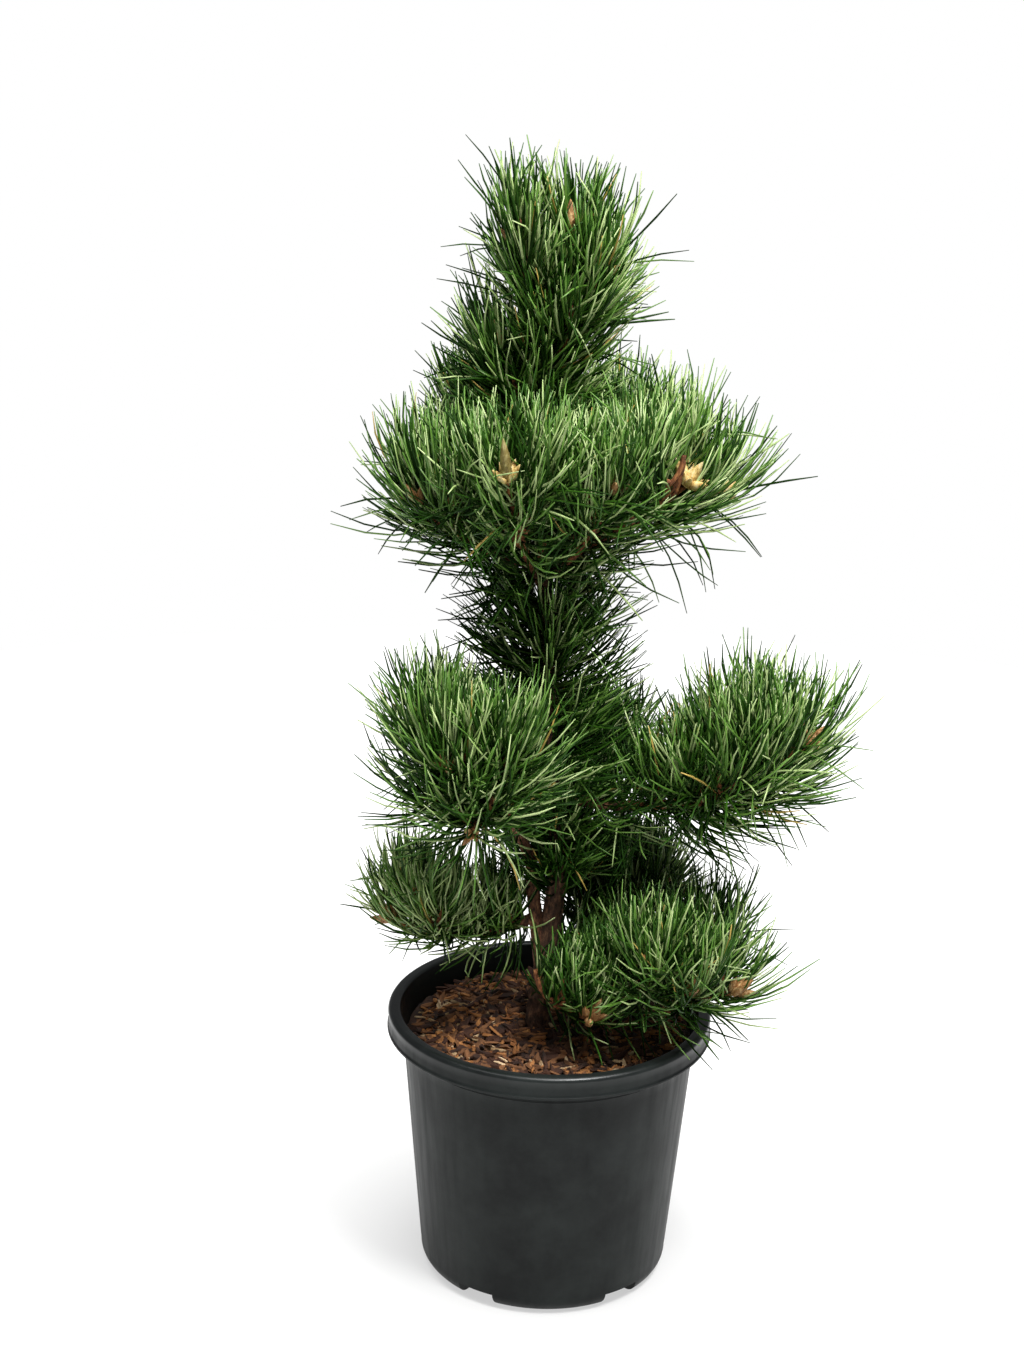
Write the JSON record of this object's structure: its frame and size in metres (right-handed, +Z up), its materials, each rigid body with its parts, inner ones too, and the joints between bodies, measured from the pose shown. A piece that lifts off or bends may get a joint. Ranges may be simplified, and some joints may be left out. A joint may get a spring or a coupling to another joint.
{
  "type": "potted pine",
  "caption": "Young, open-branched pine with a slender trunk, upturned needle tufts in tiers and a tall leader, in a round black nursery pot topped with bark mulch.",
  "frame": {"origin": "middle of the pot's flat underside, where the pot stands on the floor", "axes": "+Z up along the pot's axis and the trunk, -Y towards the viewer of the picture (the front), +X to the viewer's right"},
  "size_m": [0.3109, 0.2423, 0.6647],
  "materials": {
    "pot_plastic": "satin",
    "soil": "matte",
    "bark_mulch": "matte",
    "bark": "matte",
    "needles": "satin"
  },
  "bodies": {
    "root": {"pot": "pot_plastic", "root_ball": "soil", "bark_mulch": "bark_mulch", "trunk": "bark", "stem_left": "bark", "bough_low_front": "bark", "bough_low_right": "bark", "bough_low_back": "bark", "bough_low_left": "bark", "bough_mid_left": "bark", "bough_mid_right": "bark", "bough_mid_back": "bark", "bough_top_left": "bark", "bough_top_front": "bark", "bough_top_middle": "bark", "bough_top_right": "bark", "bough_top_back": "bark", "bough_top_rear_left": "bark", "needles_low_front": "needles", "needles_low_right": "needles", "needles_low_back": "needles", "needles_low_left": "needles", "needles_mid_left": "needles", "needles_mid_right": "needles", "needles_mid_back": "needles", "needles_top_left": "needles", "needles_top_front": "needles", "needles_top_middle": "needles", "needles_top_right": "needles", "needles_top_back": "needles", "needles_top_rear_left": "needles", "needles_column": "needles", "needles_leader": "needles"}
  },
  "joints": []
}
